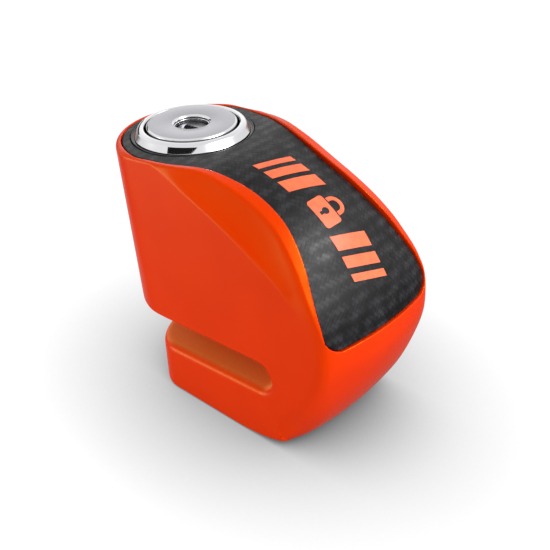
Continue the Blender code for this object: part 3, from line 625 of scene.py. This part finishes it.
def carbon_material():
    """Black 2 x 2 twill under a satin film, laid out in the sheet's own unrolled plane; each tow is painted
    lighter along its crest as a highlight.
    """
    m = Nodes("carbon_weave", (0.006, 0.006, 0.0065), 0.31, Specular_IOR_Level=0.17)
    flat = m.add("ShaderNodeAttribute")
    flat.attribute_name = "flat"
    wander = m.add("ShaderNodeTexNoise", Vector=flat.outputs["Vector"], Scale=0.35, Detail=1.0)
    bent = m.add("ShaderNodeVectorMath")
    bent.operation = "MULTIPLY_ADD"
    m.fill(bent.inputs[0], wander.outputs["Color"])
    m.fill(bent.inputs[1], (0.55, 0.55, 0.55))
    m.fill(bent.inputs[2], flat.outputs["Vector"])
    turned = m.add("ShaderNodeMapping", Vector=bent.outputs[0], Rotation=(0, 0, math.radians(45)),
                   Scale=(1 / TOW, 1 / TOW, 1 / TOW))
    parts = m.add("ShaderNodeSeparateXYZ", Vector=turned.outputs[0])
    u, v = parts.outputs["X"], parts.outputs["Y"]
    # Each tow goes over two and under two, one step on from its neighbour.
    both = m.math("ADD", m.math("FLOOR", u), m.math("FLOOR", v))
    over = m.math("LESS_THAN", m.math("FLOORED_MODULO", both, 4.0), 1.5)
    # Each tow's crest: a real ridge in the bump, and a painted highlight where it lightens the colour.
    ridge_and_highlight_u = m.math("ABSOLUTE", m.math("SINE", m.math("MULTIPLY", u, math.pi)))
    ridge_and_highlight_v = m.math("ABSOLUTE", m.math("SINE", m.math("MULTIPLY", v, math.pi)))
    ridge_and_highlight = m.math("ADD", m.math("MULTIPLY", ridge_and_highlight_u, over),
                   m.math("MULTIPLY", ridge_and_highlight_v, m.math("SUBTRACT", 1.0, over)))
    cloud = m.noise(0.32, 4.0, 0.62, where=flat.outputs["Vector"])
    fibre = m.noise(9.0, 2.0, 0.5, where=flat.outputs["Vector"])
    cloudy = m.spread(cloud, 0.0, 1.0, 0.40, 0.66)
    body = m.math("ADD", m.math("MULTIPLY", ridge_and_highlight, 0.35), m.math("MULTIPLY", over, 0.5))
    body = m.math("ADD", body, m.math("MULTIPLY", fibre, 0.3))
    shade = m.math("MULTIPLY", body, m.math("ADD", 0.15, m.math("MULTIPLY", cloudy, 0.85)))
    m.link(m.ramp(shade, [(0.0, (0.003, 0.003, 0.0033)), (0.9, (0.022, 0.022, 0.024))]), "Base Color")
    gloss = m.math("SUBTRACT", 0.40, m.math("MULTIPLY", shade, 0.16))
    m.link(m.math("ADD", gloss, m.math("MULTIPLY", m.noise(2.2, 2.0, where=flat.outputs["Vector"]), 0.05)),
           "Roughness")
    m.bump(m.math("ADD", ridge_and_highlight, m.math("MULTIPLY", over, 0.4)), 0.00002, 0.34)
    return m.material


def ink_material():
    """Printed sign: matt orange ink with a slight drift in its tone and a faint grain."""
    m = Nodes("orange_ink", (0.62, 0.10, 0.034), 0.42, Specular_IOR_Level=0.4)
    tone = m.ramp(m.noise(700.0, 3.0), [(0.3, (0.57, 0.088, 0.028)), (0.7, (0.66, 0.112, 0.040))])
    m.link(tone, "Base Color")
    m.bump(m.noise(2500.0), 0.00001, 0.3)
    return m.material


def metal_material(name, colour, roughness, grain=700.0, depth=0.000004, stretch=None, spread=0.06):
    """Bare metal with a fine grain in its gloss and a slow drift in its tone."""
    m = Nodes(name, colour, roughness, 1.0)
    grainy = m.noise(grain, 2.0, 0.5, stretch=stretch)
    m.link(m.spread(grainy, roughness - spread / 2, roughness + spread / 2), "Roughness")
    low = tuple(c * 0.93 for c in colour)
    m.link(m.ramp(m.noise(90.0, 2.0), [(0.3, low), (0.7, colour)]), "Base Color")
    if depth:
        m.bump(grainy, depth, 0.4)
    return m.material


def rubber_material(name, colour, roughness=0.6):
    """Soft black moulding or foam with a faint mottle."""
    m = Nodes(name, colour, roughness)
    m.link(m.ramp(m.noise(500.0), [(0.3, colour), (0.8, tuple(c * 1.6 for c in colour))]), "Base Color")
    m.bump(m.noise(1500.0), 0.00001, 0.5)
    return m.material


ORANGE = (0.475, 0.020, 0.0003)
TOW = 0.95                       # width of one carbon tow, in millimetres
PAINT = paint_material()
CARBON = carbon_material()
INK = ink_material()
CHROME = metal_material("polished_chrome", (0.90, 0.90, 0.92), 0.05, 260.0, 0.0, spread=0.02)
SATIN = metal_material("satin_chrome", (0.49, 0.49, 0.515), 0.30, 900.0, 0.000003)
BRIGHT = metal_material("bright_steel", (0.82, 0.82, 0.84), 0.12, 500.0, 0.0)
STEEL = metal_material("spring_steel", (0.50, 0.50, 0.52), 0.30)
HARD = metal_material("hardened_steel", (0.40, 0.41, 0.44), 0.24, 600.0, 0.000002, (1.0, 1.0, 30.0))
# Dark steel painted on the plunger face's side walls as shade.
SHADE_PAINTED_STEEL = metal_material("shade_painted_steel", (0.16, 0.16, 0.17), 0.28)
BRASS = metal_material("brass", (0.76, 0.55, 0.24), 0.28)
RUBBER = rubber_material("black_rubber", (0.010, 0.010, 0.010), 0.45)
GLOSSY_RUBBER = rubber_material("glossy_rubber", (0.008, 0.008, 0.008), 0.16)
FOAM = rubber_material("foam_tape", (0.06, 0.06, 0.06))


def dress(obj, material, body, *nodes, slot=None):
    """Gives a piece its material, its moving body, and the CAD nodes it stands for."""
    obj.data.materials.clear()
    obj.data.materials.append(material)
    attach(obj, body)
    if nodes:
        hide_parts(*nodes)
    return obj


def corners(node):
    """Lowest and highest corner of a CAD node, in millimetres."""
    low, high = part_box(node)
    return [v / MM for v in low], [v / MM for v in high]


# ---- casting and panel ----------------------------------------------------------------
def make_casting():
    """The painted body."""
    size = 0.36
    obj = surface_net("painted_casting", casting, *corners("body_casting"), size)
    dress(obj, PAINT, "lock_body", "body_casting")


def make_panel():
    """The carbon sheet, with its unrolled plane kept in an attribute for the weave."""
    size = 0.28
    obj = surface_net("carbon_panel", panel, *corners("label_panel"), size)
    at = positions(obj)
    unrolled = np.zeros((len(at), 3), np.float32)
    unrolled[:, 0], unrolled[:, 1] = along(at[:, 0], at[:, 2])[0], at[:, 1]
    flat = obj.data.attributes.new("flat", "FLOAT_VECTOR", "POINT")
    flat.data.foreach_set("vector", unrolled.ravel())
    dress(obj, CARBON, "lock_body", "label_panel")


# ---- the printed sign: a padlock between slanted bars ------------------------------------
SIGN_MIDDLE, SIGN_SIDE, SIGN_HALF_HEIGHT, SIGN_SLANT = 41.0, -0.3, 4.5, 2.6
SIGN_BARS = ((6.4, 9.8), (11.2, 13.8), (15.2, 16.9))    # from and to, on either side of the middle
INK_THICKNESS, INK_LIFT = 0.06, 0.02
SIGN_REACH, SIGN_CUT = 18.0, 0.75       # the sign is cut this finely so that it bends with the panel


def arc(radius, start, end, centre=(0.0, 0.0), count=24):
    turn = np.radians(np.linspace(start, end, count))
    return [(centre[0] + radius * math.cos(a), centre[1] + radius * math.sin(a)) for a in turn]


def sign_outlines():
    """Closed outlines in the sign's plane; x runs along the panel and y across it."""
    body = arc(0.7, 180, 270, (-2.9, -3.0), 6) + arc(0.7, 270, 360, (2.9, -3.0), 6)
    body += arc(0.7, 0, 90, (2.9, 0.1), 6) + arc(0.7, 90, 180, (-2.9, 0.1), 6)
    keyhole = arc(0.85, -60, 240, (0.0, -1.1), 16) + [(-0.42, -2.7), (0.42, -2.7)]
    shackle = [(2.35, 1.15)] + arc(2.35, 0, 180, (0.0, 1.75)) + [(-2.35, 1.15)]
    shackle += [(-1.35, 1.15)] + arc(1.35, 180, 0, (0.0, 1.75)) + [(1.35, 1.15)]
    groups = [[body, keyhole], [shackle]]
    h, slant = SIGN_HALF_HEIGHT, SIGN_SLANT / 2
    for side in (-1, 1):
        for start, end in SIGN_BARS:
            a, b = side * start, side * end
            groups.append([[(a - slant, -h), (b - slant, -h), (b + slant, h), (a + slant, h)]])
    return groups


def make_sign():
    """Thin ink solids bent onto the panel's crowned face."""
    shell = bmesh.new()
    for group in sign_outlines():
        curve = bpy.data.curves.new("outline", "CURVE")
        curve.dimensions, curve.fill_mode, curve.extrude = "2D", "BOTH", INK_THICKNESS / 2
        for outline in group:
            spline = curve.splines.new("POLY")
            spline.points.add(len(outline) - 1)
            spline.points.foreach_set("co", [c for x, y in outline for c in (x, y, 0.0, 1.0)])
            spline.use_cyclic_u = True
        holder = bpy.data.objects.new("outline", curve)
        flat = bpy.data.meshes.new_from_object(holder)
        shell.from_mesh(flat)
        bpy.data.objects.remove(holder)
        bpy.data.meshes.remove(flat)
    bmesh.ops.remove_doubles(shell, verts=shell.verts, dist=1e-4)
    for axis, reach in (((1, 0, 0), SIGN_REACH), ((0, 1, 0), SIGN_HALF_HEIGHT)):
        for at in np.arange(-reach, reach, SIGN_CUT):
            bmesh.ops.bisect_plane(shell, geom=shell.verts[:] + shell.edges[:] + shell.faces[:],
                                   plane_co=Vector(axis) * float(at), plane_no=axis)
    bmesh.ops.triangulate(shell, faces=shell.faces)
    for v in shell.verts:
        lift = INK_LIFT + v.co.z + INK_THICKNESS / 2
        spot = on_panel(np.array([SIGN_MIDDLE + v.co.x]), np.array([v.co.y + SIGN_SIDE]), lift)[0]
        v.co = Vector(spot) * MM
    mesh = bpy.data.meshes.new("printed_sign")
    shell.to_mesh(mesh)
    shell.free()
    obj = new_object("printed_sign", mesh)
    tidy(obj, 40)
    dress(obj, INK, "lock_body", slot="label_panel")


# ---- ring, gasket, plunger face and keyway ------------------------------------------------
def make_ring():
    """Domed outside, a steep fall to a straight inner wall round the plunger."""
    crest, top, round_over, steep = 11.15, 59.12, 1.41, math.radians(60)
    dome = [(crest + round_over * math.sin(a), top - round_over * (1 - math.cos(a)))
            for a in np.linspace(0, steep, 20)]
    dome += [(RING_RADIUS, 57.31), (RING_RADIUS + 0.05, 57.24)]
    inner = [(10.65, 58.45), (10.70, 58.72), (10.80, 58.93), (10.96, 59.07)]
    under = [(13.0, 57.2), (11.5, 57.2), (11.5, 55.45), (11.45, 55.4), (10.7, 55.4), (10.65, 55.45)]
    dress(lathe("domed_ring", inner + dome + under, 192, 50), CHROME, "lock_body", "bezel_ring")
    bead = arc(0.16, 0, 180, (13.68, 57.10), 10)
    seat = [(12.1, 57.05), (12.1, 55.45), (13.84, 55.45)] + bead + [(13.4, 57.05)]
    dress(lathe("ring_gasket", seat, 160), GLOSSY_RUBBER, "lock_body", "bezel_gasket")


def make_plunger_face():
    """Satin disc with a polished chamfer and a stepped key hole with polished steps; its walls that face
    sideways or down are painted dark as shade.
    """
    top, low, edge, hole = CAP_TOP, CAP_BOTTOM, FACE_RADIUS, KEY_HOLE_RADIUS
    profile = [(edge - 0.42, top), (edge - 0.38, top - 0.01), (edge - 0.06, top - 0.30), (edge, top - 0.40),
               (edge, low + 0.1), (edge - 0.1, low), (hole - 0.1, low), (hole - 0.18, low + 0.1),
               (hole - 0.18, top - 0.86), (hole - 0.14, top - 0.80), (hole + 0.02, top - 0.74),
               (hole + 0.02, top - 0.40), (hole + 0.06, top - 0.34), (hole + 0.40, top - 0.02),
               (hole + 0.44, top)]
    obj = lathe("plunger_face", profile, 192, 35)
    dress(obj, SATIN, "plunger", "plunger_cap")
    obj.data.materials.append(CHROME)
    obj.data.materials.append(SHADE_PAINTED_STEEL)
    axis = Vector((-SL, 0, CL))
    satin, chrome, dark = range(3)
    for face in obj.data.polygons:
        facing_up = face.normal.dot(axis)
        # Walls facing sideways or down take the dark steel: painted shade in the gap round the face and
        # inside the key hole.
        face.material_index = satin if facing_up > 0.97 else chrome if facing_up > 0.3 else dark


def make_key_guard():
    """Steel face at the bottom of the key hole, with the half-round keyway cut through it."""
    profile = rounded([(0.0, 57.9), (3.5, 57.9), (3.5, 56.4), (6.1, 56.4), (6.1, 54.8), (0.0, 54.8)], 0.15)
    obj = lathe("key_guard", profile, 96, 35)
    moon = arc(2.5, 180, 360, (0.0, 0.9), 40)
    cutter = prism("keyway_cutter", moon, 53.8, 58.9)
    cut = obj.modifiers.new("keyway", "BOOLEAN")
    cut.operation, cut.object, cut.solver = "DIFFERENCE", cutter, "EXACT"
    apply_modifiers(obj)
    bpy.data.objects.remove(cutter)
    obj.data.set_sharp_from_angle(angle=math.radians(30))
    dress(obj, SATIN, "key_rotor", "drill_guard")


def prism(name, outline, low, high):
    """Closed prism along the lock axis."""
    n = len(outline)
    flat = np.array(outline)
    rows = [world_of(flat[:, 0], flat[:, 1], z) for z in (low, high)]
    mesh = bpy.data.meshes.new(name)
    sides = [(i, (i + 1) % n, (i + 1) % n + n, i + n) for i in range(n)]
    caps = [tuple(range(n))[::-1], tuple(range(n, 2 * n))]
    mesh.from_pydata((np.concatenate(rows) * MM).tolist(), [], sides + caps)
    obj = new_object(name, mesh)
    tidy(obj)
    return obj


# ---- the CAD nodes that keep their shape ------------------------------------------------
MATERIALS = {
    "panel_adhesive": FOAM, "wiper_seal": RUBBER, "liner_sleeve": HARD, "pin_guide_bush": HARD,
    "spring_washer": STEEL, "return_spring": STEEL, "plunger_barrel": SATIN, "locking_pin": HARD,
    "pin_circlip": STEEL, "rotor_cage": BRASS, "latch_cam": HARD, "sidebar": STEEL,
    "latch_ball_left": BRIGHT, "latch_ball_right": BRIGHT,
    "detainer_disc": BRASS, "disc_spacer": STEEL,
}


def dress_nodes():
    """Gives each CAD node that stays the material of its kind."""
    for name, obj in NODES.items():
        for start, material in MATERIALS.items():
            if name.startswith(start):
                obj.data.materials.clear()
                obj.data.materials.append(material)


# ---- stage, light and camera -------------------------------------------------------------
# Metres and watts. Bearings are an azimuth and an elevation in degrees.
AIM = Vector((0.018, 0.0, 0.035))
CAMERA_PLACE, CAMERA_BEARING = Vector((0.15170, -0.14715, 0.15655)), (41.6, 32.9)
SENSOR_WIDTH, LENS = 36.0, 68.0727
FLOOR_REACH, FLOOR_LEVEL = 3.0, 1.10
FLOOR_SHADOW_REACH, FLOOR_SHADOW_POWER = 0.044, 1.25
# Place on the way from straight down to straight up, and brightness there.
WORLD_STOPS = ((0.0, 0.06), (0.47, 0.08), (0.53, 0.75), (0.75, 0.90), (1.0, 0.80))
# Azimuth, elevation, spread and strength of each round light in the room.
SOFT_LIGHTS = ((119, 47, 8, 26.0), (97, 39, 8, 3.0), (-40, -6, 9, 7.0), (226, -12, 20, 0.8))
# Name, azimuth, elevation, distance, power, width and height of each soft box.
SOFT_BOXES = (
    ("nose_fill", 80, 10, 0.8, 1.8, 0.40, 0.40),
    ("far_fill", 115, 12, 0.8, 2.0, 0.30, 0.30),
    ("jaw_fill", -80, 0, 0.5, 0.9, 0.30, 0.30),
    ("low_jaw", -50, -20, 0.15, 0.075, 0.10, 0.05),
    ("low_side", 0, -20, 0.15, 0.060, 0.12, 0.05),
    ("low_nose", 65, -14, 0.15, 0.040, 0.10, 0.05),
)
# Name, azimuth, elevation, distance, width and height of each black card.
BLACK_CARDS = (
    ("flag_front", 26, 36, 0.9, 1.15, 0.30),
    ("flag_left", -107, 8, 0.6, 0.30, 0.12),
)


def direction(azimuth, elevation):
    """Unit vector towards a bearing: azimuth 0 is -Y and 90 is +X."""
    a, e = math.radians(azimuth), math.radians(elevation)
    return Vector((math.sin(a) * math.cos(e), -math.cos(a) * math.cos(e), math.sin(e)))


def card(name, wide, high):
    """Flat rectangle in the XY plane."""
    mesh = bpy.data.meshes.new(name)
    w, h = wide / 2, high / 2
    mesh.from_pydata([(-w, -h, 0), (w, -h, 0), (w, h, 0), (-w, h, 0)], [], [(0, 1, 2, 3)])
    return new_object(name, mesh)


def hang(obj, azimuth, elevation, distance):
    """Places a light or a card on a bearing from the lock, facing it."""
    obj.location = AIM + direction(azimuth, elevation) * distance
    obj.rotation_euler = (AIM - obj.location).to_track_quat("-Z", "Y").to_euler()


def floor():
    """White floor that glows evenly by itself, with a painted contact shadow: an ambient-occlusion node dims
    the glow near the lock.
    """
    obj = card("floor", 2 * FLOOR_REACH, 2 * FLOOR_REACH)
    m = Nodes("floor_white", (0.0, 0.0, 0.0), 1.0, Specular_IOR_Level=0.0)
    open_sky = m.add("ShaderNodeAmbientOcclusion", Distance=FLOOR_SHADOW_REACH)
    open_sky.samples = 24
    paper = m.ramp(m.noise(5.0), [(0.0, (0.995, 0.995, 0.995)), (1.0, (1.0, 1.0, 1.0))])
    m.link(paper, "Emission Color")
    # Painted shadow: the glow is dimmed where the lock is close by; no lamp casts it.
    shade = m.math("POWER", open_sky.outputs["AO"], FLOOR_SHADOW_POWER)
    m.link(m.math("MULTIPLY", shade, FLOOR_LEVEL), "Emission Strength")
    m.material.cycles.emission_sampling = "NONE"
    obj.data.materials.append(m.material)
    obj.visible_glossy = obj.visible_shadow = False


def soft_box(name, azimuth, elevation, distance, power, wide, high):
    """Light for the matt part of every surface; the room gives the reflections."""
    light = bpy.data.lights.new(name, "AREA")
    light.energy = power
    light.shape = "RECTANGLE"
    light.size, light.size_y = wide, high
    obj = new_object(name, light)
    hang(obj, azimuth, elevation, distance)
    obj.visible_glossy = obj.visible_camera = False


def black_card(name, azimuth, elevation, distance, wide, high):
    """Card that only reflections see; it gives the chrome its dark patches."""
    obj = card(name, wide, high)
    hang(obj, azimuth, elevation, distance)
    m = Nodes("flag_black", (0.01, 0.01, 0.01), 0.9, Specular_IOR_Level=0.0)
    m.link(m.ramp(m.noise(20.0), [(0.0, (0.008, 0.008, 0.008)), (1.0, (0.012, 0.012, 0.012))]), "Base Color")
    obj.data.materials.append(m.material)
    obj.visible_camera = obj.visible_shadow = obj.visible_diffuse = False


def world():
    """Pale room, dark below the horizon, with soft round lights in it."""
    made = bpy.data.worlds.new("studio")
    made.use_nodes = True
    tree = made.node_tree
    where = tree.nodes.new("ShaderNodeTexCoord").outputs["Generated"]

    def math_node(operation, *values):
        node = tree.nodes.new("ShaderNodeMath")
        node.operation = operation
        for socket, value in zip(node.inputs, values):
            if isinstance(value, bpy.types.NodeSocket):
                tree.links.new(value, socket)
            else:
                socket.default_value = value
        return node.outputs[0]

    parts = tree.nodes.new("ShaderNodeSeparateXYZ")
    tree.links.new(where, parts.inputs[0])
    ramp = tree.nodes.new("ShaderNodeValToRGB")
    tree.links.new(math_node("MULTIPLY_ADD", parts.outputs["Z"], 0.5, 0.5), ramp.inputs[0])
    while len(ramp.color_ramp.elements) < len(WORLD_STOPS):
        ramp.color_ramp.elements.new(0.5)
    for element, (at, level) in zip(ramp.color_ramp.elements, WORLD_STOPS):
        element.position = at
        element.color = (level, level, level, 1.0)
    total = ramp.outputs[0]
    for azimuth, elevation, spread, strength in SOFT_LIGHTS:
        near = tree.nodes.new("ShaderNodeVectorMath")
        near.operation = "DOT_PRODUCT"
        tree.links.new(where, near.inputs[0])
        near.inputs[1].default_value = direction(azimuth, elevation)
        sharp = 1.0 / math.radians(spread) ** 2
        fall = math_node("MULTIPLY", math_node("SUBTRACT", near.outputs["Value"], 1.0), sharp)
        total = math_node("ADD", total, math_node("MULTIPLY", math_node("EXPONENT", fall), strength))
    tree.links.new(total, tree.nodes["Background"].inputs["Color"])
    bpy.context.scene.world = made


def camera():
    data = bpy.data.cameras.new("camera")
    data.sensor_width, data.lens = SENSOR_WIDTH, LENS
    data.clip_start, data.clip_end = 0.01, 20.0
    obj = new_object("camera", data)
    back = direction(*CAMERA_BEARING)
    right = Vector((0, 0, 1)).cross(back).normalized()
    turn = Matrix((right, back.cross(right), back)).transposed().to_4x4()
    turn.translation = CAMERA_PLACE
    obj.matrix_world = turn
    bpy.context.scene.camera = obj


# ---- the scene ----------------------------------------------------------------------------
make_casting()
make_panel()
make_sign()
make_ring()
make_plunger_face()
make_key_guard()
dress_nodes()
floor()
world()
for box in SOFT_BOXES:
    soft_box(*box)
for sheet in BLACK_CARDS:
    black_card(*sheet)
camera()
bpy.context.scene.view_settings.view_transform = "Standard"
